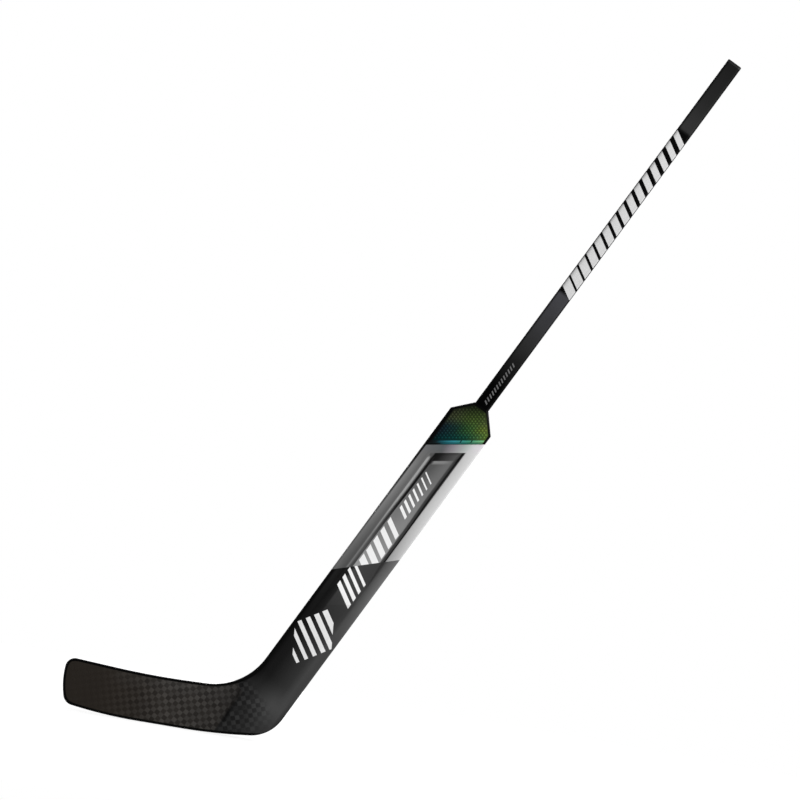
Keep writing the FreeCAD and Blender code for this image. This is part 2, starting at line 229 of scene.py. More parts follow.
class Graph:
    """The node tree of one material, with its sums written as calls."""

    def __init__(self, name):
        self.material = bpy.data.materials.new(name)
        self.material.use_nodes = True
        self.tree = self.material.node_tree
        self.shader = self.tree.nodes["Principled BSDF"]
        self.place = self.tree.nodes.new("ShaderNodeTexCoord").outputs["Object"]

    def feed(self, socket, value):
        """Links a socket to the value, or sets it."""
        if isinstance(value, bpy.types.NodeSocket):
            self.tree.links.new(value, socket)
        else:
            socket.default_value = value

    def node(self, kind, values=(), **settings):
        """A new node with its settings and its first inputs."""
        node = self.tree.nodes.new(kind)
        for name, setting in settings.items():
            setattr(node, name, setting)
        for socket, value in zip(node.inputs, values):
            self.feed(socket, value)
        return node

    def sum(self, operation, *values):
        """The result of one Math node."""
        return self.node("ShaderNodeMath", values, operation=operation).outputs[0]

    def along(self, direction, start):
        """Distance of the shaded point from start along a direction."""
        shadow = self.node("ShaderNodeVectorMath", (self.place, direction), operation="DOT_PRODUCT")
        return self.sum("SUBTRACT", shadow.outputs["Value"], Vector(start).dot(Vector(direction)))

    def axes(self):
        """Height up the axis and offset across it."""
        return self.along(UP_AXIS, HEEL), self.along(ACROSS, HEEL)

    def left_of(self, point, degrees):
        """Distance to the left of a line in the side view that leaves a point at an angle."""
        turn = math.radians(degrees + 90.0)
        return self.along((math.cos(turn), 0.0, math.sin(turn)), (point[0], 0.0, point[1]))

    def away_from(self, point):
        """Distance from a point in the side view."""
        flat = self.node("ShaderNodeVectorMath", (self.place, (1.0, 0.0, 1.0)), operation="MULTIPLY")
        centre = (point[0], 0.0, point[1])
        node = self.node("ShaderNodeVectorMath", (flat.outputs[0], centre), operation="DISTANCE")
        return node.outputs["Value"]

    def rise(self, value, low, high):
        """A smooth step from 0 at low to 1 at high."""
        node = self.node("ShaderNodeMapRange", (value, low, high), interpolation_type="SMOOTHSTEP")
        return node.outputs[0]

    def within(self, value, low, high, soft):
        """1 between low and high, with soft ends."""
        start = self.rise(value, low - soft, low + soft)
        end = self.rise(value, high + soft, high - soft)
        return self.sum("MULTIPLY", start, end)

    def both(self, *shares):
        """The product of several shares."""
        product = shares[0]
        for share in shares[1:]:
            product = self.sum("MULTIPLY", product, share)
        return product

    def mix(self, share, first, second, blend="MIX"):
        """A colour between two others."""
        node = self.tree.nodes.new("ShaderNodeMix")
        node.data_type = "RGBA"
        node.blend_type = blend
        self.feed(node.inputs[0], share)
        self.feed(node.inputs[6], first)
        self.feed(node.inputs[7], second)
        return node.outputs[2]

    def fade(self, value, *stops):
        """Colours along a value, from (place, level) stops."""
        low = stops[0][0]
        high = stops[-1][0]
        share = self.node("ShaderNodeMapRange", (value, low, high)).outputs[0]
        ramp = self.node("ShaderNodeValToRGB", (share,))
        points = ramp.color_ramp.elements
        while len(points) < len(stops):
            points.new(0.5)
        for point, (place, level) in zip(points, stops):
            point.position = (place - low) / (high - low)
            point.color = tone(level)
        return ramp.outputs["Color"]

    def noise(self, size, detail=2.0, stretch=(1.0, 1.0, 1.0)):
        """Cloudy variation from 0 to 1 with features of about that size."""
        spread = self.node("ShaderNodeVectorMath", (self.place, stretch), operation="MULTIPLY")
        node = self.tree.nodes.new("ShaderNodeTexNoise")
        self.feed(node.inputs["Vector"], spread.outputs[0])
        node.inputs["Scale"].default_value = 1.0 / size
        node.inputs["Detail"].default_value = detail
        return node.outputs[0]

    def bars(self, value, start, pitch, count, wide, narrow):
        """Bars along a value whose share of the pitch goes from wide to narrow."""
        phase = self.sum("DIVIDE", self.sum("SUBTRACT", value, start), pitch)
        index = self.sum("FLOOR", phase)
        part = self.sum("FRACT", phase)
        width = self.sum("MULTIPLY_ADD", index, (narrow - wide) / (count - 1), wide)
        inside = self.sum("MINIMUM", part, self.sum("SUBTRACT", width, part))
        edge = self.rise(inside, 0.0, BAR_SOFT / pitch)
        return self.both(edge, self.within(phase, 0.0, count, 0.01))

    def point(self, *parts):
        """A vector from its parts."""
        return self.node("ShaderNodeCombineXYZ", parts).outputs[0]

    def streaks(self, across, along):
        """Fine fibres that run along a direction."""
        node = self.tree.nodes.new("ShaderNodeTexNoise")
        self.feed(node.inputs["Vector"], self.point(across, self.sum("MULTIPLY", along, FIBRE_STRETCH)))
        node.inputs["Scale"].default_value = 1.0 / FIBRE
        return node.outputs[0]

    def weave(self, first, second, tow):
        """(share of tows along first, height, chance of each crossing, fibres) of a plain weave."""
        wave_first = self.sum("SINE", self.sum("MULTIPLY", first, math.pi / tow))
        wave_second = self.sum("SINE", self.sum("MULTIPLY", second, math.pi / tow))
        crossing = self.sum("MULTIPLY", wave_first, wave_second)
        over = self.rise(crossing, -CROSSING_SOFT, CROSSING_SOFT)
        crown_first = self.sum("ABSOLUTE", wave_first)
        crown_second = self.sum("ABSOLUTE", wave_second)
        swell_first = self.sum("MULTIPLY_ADD", crown_first, 0.5, 0.5)
        swell_second = self.sum("MULTIPLY_ADD", crown_second, 0.5, 0.5)
        higher = self.both(self.sum("SQRT", crown_second), swell_first, over)
        under = self.sum("SUBTRACT", 1.0, over)
        lower = self.both(self.sum("SQRT", crown_first), swell_second, under)
        column = self.sum("FLOOR", self.sum("DIVIDE", first, tow))
        row = self.sum("FLOOR", self.sum("DIVIDE", second, tow))
        cell = self.node("ShaderNodeTexWhiteNoise", (self.point(column, row),), noise_dimensions="3D")
        along_first = self.streaks(second, first)
        along_second = self.streaks(first, second)
        gain = self.sum("SUBTRACT", along_first, along_second)
        fibres = self.sum("MULTIPLY_ADD", over, gain, along_second)
        return over, self.sum("ADD", higher, lower), cell.outputs["Value"], fibres

    def bump(self, height, depth):
        """A normal from a height."""
        node = self.tree.nodes.new("ShaderNodeBump")
        node.inputs["Distance"].default_value = depth
        self.feed(node.inputs["Height"], height)
        return node.outputs[0]

    def finish(self, colour, roughness, normal, **uniform):
        """Feeds the shader and returns the material."""
        self.feed(self.shader.inputs["Base Color"], colour)
        self.feed(self.shader.inputs["Roughness"], roughness)
        self.feed(self.shader.inputs["Normal"], normal)
        for name, value in uniform.items():
            self.shader.inputs[name.replace("_", " ")].default_value = value
        return self.material


def rough(g, share, low, high):
    """A roughness between low and high."""
    return g.sum("MULTIPLY_ADD", share, high - low, low)


def slanted(g, value, other, slope):
    """A value plus a share of another, so that its levels run at a slant."""
    return g.sum("MULTIPLY_ADD", other, slope, value)


def over_black(g, height, across):
    """Distance above the slanted line where the silver paint begins."""
    return g.sum("SUBTRACT", slanted(g, height, across, BLACK_PAINT_SLANT), BLACK_PAINT_TOP)


def silver_paint_and_light(g, height, across):
    """Silver that pales away from the blade and up the paddle, with a pearl shift under the grip; its fade
    across is partly the paint's own and partly painted light, lighter on the lamp side away from the blade.
    """
    low = g.fade(
        across, (-0.044, 188), (-0.028, 150), (0.0, 126), (0.027, 79), (0.040, 104),
    )
    middle = g.fade(
        across, (-0.044, 208), (-0.028, 184), (0.0, 135), (0.027, 97), (0.040, 132),
    )
    high = g.fade(
        across, (-0.044, 210), (-0.030, 192), (-0.014, 152), (0.010, 87), (0.024, 95), (0.040, 117),
    )
    silver = g.mix(g.rise(height, *SILVER_TO_MIDDLE), low, middle)
    lean = slanted(g, height, across, SLOT_SLANT)
    silver = g.mix(g.rise(lean, *SILVER_TO_HIGH), silver, high)
    drift = g.sum("MULTIPLY_ADD", g.noise(0.03, 2.0), 0.016, across)
    pearl = g.fade(
        drift, (-0.030, (210, 199, 210)), (-0.014, (177, 194, 186)), (0.004, (150, 139, 154)),
        (0.020, (86, 94, 99)), (0.05, (99, 99, 103)),
    )
    return g.mix(g.both(g.rise(lean, *SILVER_TO_PEARL), 0.45), silver, pearl)


def paddle_marks(g, height, across):
    """White bars on the black part of the paddle."""
    lean = slanted(g, height, across, BAR_SLOPE)
    upper = g.both(g.bars(lean, *PADDLE_UPPER_BARS), g.within(across, *PADDLE_UPPER_REACH, PRINT_END_SOFT))
    from_middle = g.sum("ABSOLUTE", g.sum("SUBTRACT", height, PADDLE_LOWER_MIDDLE))
    reach = g.sum("MULTIPLY_ADD", from_middle, PADDLE_LOWER_POINT, g.sum("ABSOLUTE", across))
    lower = g.both(g.bars(lean, *PADDLE_LOWER_BARS), g.rise(reach, *PADDLE_LOWER_REACH))
    return g.sum("MAXIMUM", upper, lower)


def heel_black(g, height, across):
    """Black of the heel with painted light, lighter away from the blade, and painted shade near the sole."""
    black = g.fade(
        across, (-0.044, 39), (-0.035, 74), (-0.012, 74), (0.024, 44), (0.052, 37),
    )
    low = g.both(g.rise(height, 0.065, 0.005), g.rise(across, 0.036, -0.004))
    return g.mix(g.both(low, 0.5), black, tone(13.5))


def black_paint_and_light(g, height, across):
    """Black with painted light, lighter away from the blade on the lamp side and darker towards it, with
    white bars.
    """
    high = g.fade(
        across, (-0.044, 110), (-0.030, 84), (-0.025, 59), (0.012, 63), (0.015, 32),
        (0.0262, 11.5), (0.029, 26), (0.036, 33), (0.040, 6.5),
    )
    low = g.fade(
        across, (-0.044, 66), (-0.030, 70), (-0.018, 52), (0.004, 37),
        (0.020, 22), (0.030, 21), (0.041, 1.5),
    )
    black = g.mix(g.rise(height, *LOW_BLACK_TO_HIGH), low, high)
    black = g.mix(g.rise(height, *BLACK_TO_HEEL), black, heel_black(g, height, across))
    return g.mix(paddle_marks(g, height, across), black, tone(PRINT_WHITE))


def blade_border(g):
    """1 in the black line along the rim of the blade and the inside of the bend."""

    def line(inside):
        return g.rise(inside, RIM_LINE + RIM_LINE_SOFT, RIM_LINE - RIM_LINE_SOFT)

    x = g.along(X_AXIS, ORIGIN)
    height = g.along(UP_AXIS, HEEL)
    toe_run = g.left_of(SOLE_TOE_BREAK, -SOLE_TOE_LIFT)
    heel_run = g.left_of(SOLE_HEEL_BREAK, SOLE_HEEL_LIFT)
    sole = g.sum("SMOOTH_MIN", toe_run, g.left_of(SOLE_TOE_BREAK, 0.0), SOLE_TOE_ROUND)
    sole = g.sum("SMOOTH_MIN", sole, heel_run, SOLE_HEEL_ROUND)
    toe_low = g.left_of(TOE_BELLY, TOE_LOWER_LEAN - 90.0)
    toe_high = g.left_of(TOE_BELLY, -TOE_UPPER_LEAN - 90.0)
    toe = g.sum("SMOOTH_MIN", toe_low, toe_high, TOE_BELLY_ROUND)
    top_toe = g.left_of(TOP_DIP, 180.0 - TOP_TOE_RISE)
    top_heel = g.left_of(TOP_DIP, 180.0 + TOP_HEEL_RISE)
    top = g.sum("SMOOTH_MAX", top_toe, top_heel, TOP_DIP_ROUND)
    rim = g.sum("SMOOTH_MIN", sole, toe, TOE_BOTTOM_ROUND)
    rim = g.sum("SMOOTH_MIN", rim, top, TOE_TOP_ROUND)
    before_bend = g.rise(x, BEND_START_X + BEND_END_SOFT, BEND_START_X - BEND_END_SOFT)
    along_rim = g.both(line(rim), before_bend)
    before_end = g.rise(x, RIM_LINE_END_X + RIM_LINE_END_SOFT, RIM_LINE_END_X - RIM_LINE_END_SOFT)
    under_heel = g.both(line(sole), before_end)
    bend = g.sum("SUBTRACT", g.away_from(BEND_CENTRE), BEND_RADIUS)
    width = g.sum("MULTIPLY_ADD", g.rise(height, 0.030, 0.085), BEND_LINE_WIDENING, BEND_LINE)
    in_bend = g.both(
        g.rise(g.sum("SUBTRACT", bend, width), BEND_LINE_SOFT, -BEND_LINE_SOFT),
        g.sum("SUBTRACT", 1.0, before_bend),
        g.rise(height, BEND_END_HEIGHT + BEND_END_SOFT, BEND_END_HEIGHT - BEND_END_SOFT),
    )
    return g.sum("MAXIMUM", along_rim, g.sum("MAXIMUM", under_heel, in_bend))


def heel_cloth(g, height, across, colour):
    """(colour, height) of the cloth on the bias that shows in the heel and fades up the paddle, with painted
    shade on the lower tows and painted glints on the upper ones.
    """
    over, relief, chance, fibres = g.weave(g.along(BIAS_FIRST, HEEL), g.along(BIAS_SECOND, HEEL), TOW)
    up = g.rise(slanted(g, height, across, -0.3), 0.065, 0.043)
    shown = g.both(up, g.rise(across, -0.045, 0.024))
    # Painted shade on the tows that lie beneath.
    lower = g.both(g.sum("SUBTRACT", 1.0, over), shown, g.sum("MULTIPLY_ADD", chance, 0.5, 0.5))
    colour = g.mix(g.both(lower, 0.55), colour, tone(5.5))
    # Painted glints on the tows on top.
    colour = g.mix(g.both(over, shown, chance, 0.05), colour, tone(181))
    colour = g.mix(g.both(fibres, shown, 0.2), colour, tone(5.5))
    return colour, g.both(relief, shown)


def crease(g, height, across):
    """1 in the shaded fold where the edge of the paddle runs out into the blade."""
    patchy = g.sum("MULTIPLY_ADD", g.noise(0.012, 2.0), 1.2, 0.3)
    drifted = slanted(g, across, height, -0.12)
    run = g.both(g.within(height, -0.016, 0.066, 0.012), g.rise(height, 0.12, 0.0))
    return g.both(g.within(drifted, 0.0378, 0.0442, 0.0035), run, patchy, 0.8)


def edge_line(g, height, across):
    """Share of the dark line along the edge of the paddle, partly black edge and partly painted shade on the
    side away from the lamp, faint where the silver begins.
    """
    place = g.sum("MULTIPLY_ADD", g.rise(height, 0.40, 0.60), EDGE_LINE_WIDENING, across)
    line = g.rise(place, EDGE_LINE - EDGE_LINE_SOFT, EDGE_LINE + EDGE_LINE_SOFT)
    bottom = EDGE_LINE_BOTTOM - EDGE_LINE_BOTTOM_SOFT
    started = g.rise(height, bottom, EDGE_LINE_BOTTOM + EDGE_LINE_BOTTOM_SOFT)
    strength = g.sum("MAXIMUM", g.rise(height, 0.33, 0.27), g.rise(height, 0.30, 0.62))
    return g.both(line, started, strength)


def paddle_paint():
    """Silver upper part over a black lower part, in a satin finish, with painted light and shade on both."""
    g = Graph("paddle_paint")
    height, across = g.axes()
    cloud = g.noise(0.05, 3.0)
    fleck = g.noise(0.0011, 1.0)
    silver = g.mix(g.both(fleck, 0.12), silver_paint_and_light(g, height, across), tone(63))
    black = g.mix(g.both(cloud, 0.2), black_paint_and_light(g, height, across), tone(6.5))
    black, cloth = heel_cloth(g, height, across, black)
    black = g.mix(crease(g, height, across), black, tone(2.5))
    black = g.mix(blade_border(g), black, tone(1))
    above = g.rise(over_black(g, height, across), -PAINT_EDGE_SOFT, PAINT_EDGE_SOFT)
    colour = g.mix(above, black, silver)
    colour = g.mix(edge_line(g, height, across), colour, tone(1.5))
    lean = slanted(g, height, across, SLOT_SLANT)
    in_grip = g.rise(lean, GRIP_BOTTOM - GRIP_EDGE_SOFT, GRIP_BOTTOM + GRIP_EDGE_SOFT)
    colour = g.mix(in_grip, colour, tone(1.5))
    peel = g.sum("ADD", g.noise(0.004, 2.0), g.both(fleck, 0.2))
    peel = g.sum("ADD", peel, cloth)
    return g.finish(colour, rough(g, cloud, 0.36, 0.48), g.bump(peel, 0.00004), Specular_IOR_Level=0.05)


def slot_marks(g, height, across):
    """White bars on the floor of the recess, wide ones below and thin ones above."""
    lean = slanted(g, height, across, BAR_SLOPE)
    wide = g.both(g.bars(lean, *SLOT_WIDE_BARS), g.within(across, *SLOT_WIDE_REACH, PRINT_END_SOFT))
    thin = g.both(g.bars(lean, *SLOT_THIN_BARS), g.within(across, *SLOT_THIN_REACH, PRINT_END_SOFT))
    return g.sum("MAXIMUM", wide, thin)


def slot_floor(g, height, across, lean):
    """Colour of the floor with its bars, of the sill above it with a painted highlight and of the short wall
    at its upper end in painted shade.
    """
    floor = g.fade(height, (0.30, 161), (0.36, 150), (0.42, 128), (0.50, 110), (0.55, 83), (0.60, 70))
    floor = g.mix(g.both(g.rise(across, 0.014, -0.014), 0.2), floor, tone(172))
    floor = g.mix(slot_marks(g, height, across), floor, tone(PRINT_WHITE))
    # Painted shade on the short end wall, darkest towards the blade.
    end = g.fade(
        across, (-0.023, 97), (-0.008, 70), (0.008, 22), (0.015, 3),
        (0.0175, 3), (0.0195, 83), (0.026, 88),
    )
    end_shade = g.both(g.rise(lean, 0.597, 0.605), g.rise(across, 0.018, 0.010), 0.5)
    end = g.mix(end_shade, end, tone(11.5))
    # Painted highlight along the sill below the end wall.
    sill = g.fade(across, (-0.016, 103), (-0.004, 128), (0.010, 130), (0.014, 35))
    floor = g.mix(g.rise(lean, *SLOT_SILL), floor, sill)
    return g.mix(g.rise(lean, *SLOT_END), floor, end)


def slot_walls(g, height, across, lean, floor):
    """The floor's colour with painted light on the wall on the blade side, which faces the lamp, and painted
    shade at its foot, on the wall across from it and at that wall's upper end.
    """
    widening = g.both(g.rise(height, 0.53, 0.43), SLOT_WALL_WIDENING)
    left = g.sum("SUBTRACT", across, widening)
    right = g.sum("ADD", across, widening)
    # Painted light on the wall that faces the lamp, with painted shade at its foot.
    painted_lit_wall = g.fade(
        left, (0.0145, 35), (0.0162, 9.5), (0.0183, 15), (0.0202, 86),
        (0.0218, 145), (0.0246, 148), (0.0256, 101),
    )
    painted_lit_wall = g.mix(g.both(g.rise(height, 0.50, 0.37), 0.7), painted_lit_wall, tone(83))
    along_wall = g.rise(lean, 0.601, 0.592)
    colour = g.mix(g.both(g.rise(left, 0.0140, 0.0152), along_wall), floor, painted_lit_wall)
    # Painted shade on the wall turned away from the lamp.
    painted_shaded_wall = g.fade(
        right, (-0.0256, 94), (-0.0243, 68), (-0.0229, 13.5),
        (-0.0218, 9.5), (-0.0203, 63), (-0.0170, 77),
    )
    colour = g.mix(g.rise(right, -0.0152, -0.0172), colour, painted_shaded_wall)
    # Painted shade at the upper end of the shaded wall.
    upper_end_shade = g.both(g.within(across, -0.0236, -0.0207, 0.0008), g.rise(lean, 0.580, 0.588))
    return g.mix(upper_end_shade, colour, tone(1.5))


def slot_paint():
    """Graded grey recess with painted light on one wall, painted shade on the wall across from it, a painted
    highlight on the sill and white bars on its floor.
    """
    g = Graph("slot_paint")
    height, across = g.axes()
    cloud = g.noise(0.03, 3.0)
    fleck = g.noise(0.0011, 1.0)
    lean = slanted(g, height, across, SLOT_SLANT)
    floor = slot_floor(g, height, across, lean)
    inside = slot_walls(g, height, across, lean, floor)
    inside = g.mix(g.both(fleck, 0.1), inside, tone(53))
    beside = g.rise(g.sum("ABSOLUTE", across), *SLOT_LIP)
    outside = g.sum("MAXIMUM", beside, g.rise(lean, *SLOT_LIP_TOP))
    colour = g.mix(outside, inside, silver_paint_and_light(g, height, across))
    below = g.rise(over_black(g, height, across), PAINT_EDGE_SOFT, -PAINT_EDGE_SOFT)
    colour = g.mix(below, colour, black_paint_and_light(g, height, across))
    peel = g.sum("ADD", g.noise(0.004, 2.0), g.both(fleck, 0.2))
    return g.finish(colour, rough(g, cloud, 0.36, 0.48), g.bump(peel, 0.00003), Specular_IOR_Level=0.05)


def shaft_laminate():
    """Dark laminate that pales up the shaft, with slanted silver bars and dashes on its wide faces."""
    g = Graph("shaft_laminate")
    height, across = g.axes()
    cloud = g.noise(0.03, 3.0)
    grain = g.noise(0.0012, 2.0, (1.0, 1.0, 0.25))
    base = g.fade(
        height, (0.70, 0), (0.75, 0), (0.80, 23), (0.84, 42), (0.95, (64, 64, 68)),
        (0.956, 3), (1.31, 3), (1.315, 48), (1.38, 34), (BUTT_HEIGHT, 23),
    )
    sides = g.rise(g.sum("ABSOLUTE", across), 0.0098, 0.0130)
    base = g.mix(g.both(sides, 0.8), base, tone(3))
    base = g.mix(g.both(cloud, 0.25), base, tone(6.5))
    lean = slanted(g, height, across, BAR_SLOPE)
    dashes = g.both(g.bars(lean, *SHAFT_DASHES), g.within(across, *SHAFT_DASH_REACH, SHAFT_PRINT_SOFT))
    base = g.mix(g.both(dashes, 0.72), base, tone(115))
    printed = g.both(g.bars(lean, *SHAFT_BARS), g.within(across, *SHAFT_BAR_REACH, SHAFT_PRINT_SOFT))
    silver = g.fade(across, (-0.0127, 186), (-0.006, 201), (0.006, 196), (0.0127, 177))
    silver = g.mix(g.both(grain, 0.16), silver, tone(108))
    colour = g.mix(printed, base, silver)
    return g.finish(colour, rough(g, cloud, 0.38, 0.5), g.bump(grain, 0.00002), Specular_IOR_Level=0.03)


def grip_colours(g, height, across):
    """The shift of the soft panel from navy through teal and green to yellow and up to olive."""
    low = g.fade(
        across, (-0.038, (79, 104, 41)), (-0.024, (50, 86, 48)), (-0.010, (15, 64, 46)),
        (0.006, (3, 52, 48)), (0.024, (0, 42, 44)), (0.032, (0, 33, 35)), (0.038, (3, 9.5, 11.5)),
    )
    middle = g.fade(
        across, (-0.036, (88, 104, 41)), (-0.024, (79, 97, 33)), (-0.010, (50, 83, 39)),
        (0.002, (30, 64, 35)), (0.014, (13.5, 44, 39)), (0.030, (9.5, 33, 39)), (0.038, (11.5, 17, 24)),
    )
    high = g.fade(
        across, (-0.024, (66, 79, 42)), (-0.006, (59, 79, 32)), (0.010, (53, 70, 30)),
        (0.026, (53, 61, 37)), (0.038, (48, 52, 35)),
    )
    lean = slanted(g, height, across, SLOT_SLANT)
    colour = g.mix(g.rise(lean, 0.638, 0.656), low, middle)
    steep = slanted(g, height, across, SLOT_SLANT - 0.25)
    colour = g.mix(g.rise(steep, 0.655, 0.680), colour, high)
    colour = g.mix(g.rise(steep, 0.668, 0.714), colour, tone((11.5, 12.5, 7)))
    return g.mix(g.rise(across, 0.0360, 0.0385), colour, tone(3))


def grip_skin(name, depth, lift):
    """Soft panel with shifting colours; depth darkens its ground as painted shade between the dots and lift
    brightens its dots as a painted highlight.
    """
    g = Graph(name)
    height, across = g.axes()
    colour = grip_colours(g, height, across)
    shade = g.noise(0.012, 3.0)
    # Painted shade: depth darkens the ground between the dots.
    colour = g.mix(g.sum("MULTIPLY_ADD", shade, 0.2, depth), colour, tone(3))
    # Painted highlight: lift brightens the dots.
    if lift:
        colour = g.mix(lift, colour, colour, "ADD")
    grain = g.noise(0.0007, 2.0)
    return g.finish(colour, rough(g, shade, 0.42, 0.58), g.bump(grain, 0.00004), Specular_IOR_Level=0.05)


def grip_trim_skin():
    """Teal ribs along the lower edge of the soft panel, partly their own colour and partly a painted
    highlight that is strongest on the upper rib away from the blade.
    """
    g = Graph("grip_trim_skin")
    height, across = g.axes()
    colour = g.fade(
        across, (-0.038, (112, 174, 117)), (-0.018, (57, 137, 110)), (0.004, (46, 130, 141)),
        (0.022, (21, 72, 83)), (0.029, (12, 26, 30)), (0.036, (4, 5, 6)),
    )
    rise = g.both(g.sum("SUBTRACT", slanted(g, height, across, SLOT_SLANT), GRIP_BOTTOM), SLOT_SQUARE)
    lower_rib = g.rise(rise, 0.0036, 0.0030)
    colour = g.mix(g.both(lower_rib, 0.62), colour, tone((3, 44, 48)))
    colour = g.mix(g.both(lower_rib, g.rise(across, 0.016, 0.024)), colour, tone((3, 5, 5.5)))
    # Painted highlight on the crest of the upper rib, away from the blade.
    rib_highlight = g.rise(across, 0.030, 0.018)
    colour = g.mix(g.both(g.rise(rise, 0.0070, 0.0076), rib_highlight), colour, tone((14, 78, 80)))
    for notch in TRIM_NOTCHES:
        cut = g.within(across, notch - TRIM_NOTCH_WIDTH / 2, notch + TRIM_NOTCH_WIDTH / 2, 0.0003)
        colour = g.mix(g.both(cut, g.rise(rise, 0.0030, 0.0040)), colour, tone((3, 19, 21)))
    streak = g.noise(0.006, 2.0)
    colour = g.mix(g.both(streak, rib_highlight, 0.25), colour, tone((17, 72, 81)))
    return g.finish(colour, rough(g, streak, 0.3, 0.42), g.bump(streak, 0.00003), Specular_IOR_Level=0.08)


def warm(level, shift):
    """A grey level with a warm cast."""
    return (level + shift, level, level - shift)


def blade_cloth(g):
    """(colour, height) of the cloth of the blade, quieter and browner to the toe, with painted sheen on its
    tows and painted highlights along the top.
    """
    over, relief, chance, fibres = g.weave(g.along(BLADE_FIRST, HEEL), g.along(BLADE_SECOND, HEEL), TOW)
    x = g.along(X_AXIS, ORIGIN)
    warp = g.fade(x, *((place, warm(level + swing, cast)) for place, level, swing, cast in BLADE_TOWS))
    weft = g.fade(x, *((place, warm(level - swing, cast)) for place, level, swing, cast in BLADE_TOWS))
    # Painted sheen: the tows of the two directions differ in brightness by their swing.
    colour = g.mix(over, weft, warp)
    below_top = g.left_of(TOP_DIP, 180.0)
    sheen = g.both(g.rise(below_top, 0.032, 0.010), g.rise(x, -0.14, -0.11), 0.035)
    colour = g.mix(sheen, colour, tone(135))
    # Painted highlight just below the top edge.
    top_highlight = g.both(g.within(below_top, 0.002, 0.014, 0.004), g.within(x, -0.045, 0.010, 0.012), 0.03)
    colour = g.mix(top_highlight, colour, tone(135))
    patchy = g.both(chance, g.rise(x, -0.15, -0.05), 0.3)
    colour = g.mix(patchy, colour, tone((6.5, 5.5, 5)))
    return g.mix(g.both(fibres, 0.25), colour, tone((6.5, 5.5, 5))), relief


def carbon_cloth(name):
    """Bare cloth under satin lacquer: the blade's beyond the fold, the heel's on the bias before it, with
    painted sheen, highlights and shade.
    """
    g = Graph(name)
    height, across = g.axes()
    cloud = g.noise(0.06, 3.0)
    blade, blade_relief = blade_cloth(g)
    heel, heel_relief = heel_cloth(g, height, across, heel_black(g, height, across))
    beyond = g.rise(across, FOLD - FOLD_SOFT, FOLD + FOLD_SOFT)
    colour = g.mix(g.both(cloud, 0.2), g.mix(beyond, heel, blade), tone((6.5, 5.5, 5)))
    colour = g.mix(crease(g, height, across), colour, tone(2.5))
    colour = g.mix(blade_border(g), colour, tone(0))
    before = g.sum("SUBTRACT", 1.0, beyond)
    relief = g.sum("ADD", g.both(beyond, blade_relief), g.both(before, heel_relief))
    return g.finish(colour, rough(g, cloud, 0.40, 0.52), g.bump(relief, 0.0001), Specular_IOR_Level=0.04)


def plain_laminate(name, level, low, high):
    """Dark pressed laminate with a fine directional grain."""
    g = Graph(name)
    cloud = g.noise(0.02, 3.0)
    grain = g.noise(0.0011, 2.0, (0.3, 1.0, 1.0))
    colour = g.mix(cloud, tone(level), tone(level * 1.7))
    colour = g.mix(g.both(grain, 0.3), colour, tone(1.5))
    return g.finish(colour, rough(g, cloud, low, high), g.bump(grain, 0.00003), Specular_IOR_Level=0.04)


def plug_plastic():
    """Moulded black plastic with a spark-eroded grain."""
    g = Graph("plug_plastic")
    cloud = g.noise(0.008, 2.0)
    grain = g.noise(0.0006, 2.0)
    colour = g.mix(g.both(cloud, 0.6), tone(4), tone(9.5))
    return g.finish(colour, rough(g, grain, 0.45, 0.6), g.bump(grain, 0.00006), Specular_IOR_Level=0.3)


def foam():
    """Cut core foam with open cells."""
    g = Graph("foam")
    cloud = g.noise(0.02, 2.0)
    cell = g.noise(0.0015, 3.0)
    colour = g.mix(cloud, tone((186, 174, 135)), tone((201, 192, 161)))
    return g.finish(colour, rough(g, cell, 0.8, 0.95), g.bump(cell, 0.0004))


def dress(material, *names):
    """Gives CAD nodes a finish."""
    for name in names:
        for slot in nodes[name].material_slots:
            slot.material = material


def dress_nodes():
    """Every CAD node gets the finish of its kind."""
    dress(paddle_paint(), "paddle_shell_front", "paddle_shell_rear")
    dress(slot_paint(), "slot_liner_front", "slot_liner_rear")
    dress(shaft_laminate(), "shaft_tube")
    dress(grip_skin("grip_skin", 0.3, 0.0), "shoulder_grip_front", "shoulder_grip_rear")
    dress(carbon_cloth("blade_weave"), "blade_skin_front", "blade_skin_rear")
    dress(carbon_cloth("heel_weave"), "heel_wrap_front", "heel_wrap_rear")
    edge = plain_laminate("edge_laminate", 2.5, 0.4, 0.55)
    dress(edge, "toe_edge_strip", "top_edge_strip", "sole_edge_strip")
    bare = plain_laminate("bare_laminate", 17, 0.45, 0.6)
    dress(bare, "paddle_rail_inner", "paddle_rail_outer", "blade_bridge")
    dress(plug_plastic(), "butt_end_plug")
    dress(foam(), "paddle_core", "tenon_insert", "heel_block", "blade_core_upper", "blade_core_lower")


def paddle_point(height, across):
    """A point in the middle plane of the paddle."""
    return HEEL + UP_AXIS * height + ACROSS * across


def surface_under(tree, side, height, across):
    """(point, normal) where the panel lies under a place, or None off the panel."""
    start = paddle_point(height, across) + Vector((0.0, side * RAY_START, 0.0))
    point, normal = tree.ray_cast(start, Vector((0.0, -side, 0.0)), RAY_REACH)[:2]
    if point is None:
        return None
    if normal.y * side < 0:
        normal = -normal
    return point, normal


def node_tree(name):
    """A ray-casting tree of a CAD node."""
    mesh = nodes[name].data
    corners = [vertex.co.copy() for vertex in mesh.vertices]
    faces = [list(face.vertices) for face in mesh.polygons]
    return BVHTree.FromPolygons(corners, faces)


def new_piece(name, mesh_source, material):
    """A named piece on the stick from a bmesh."""
    mesh = bpy.data.meshes.new(name)
    mesh_source.to_mesh(mesh)
    mesh_source.free()
    for face in mesh.polygons:
        face.use_smooth = True
    mesh.materials.append(material)
    piece = bpy.data.objects.new(name, mesh)
    scene.collection.objects.link(piece)
    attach(piece, "root")


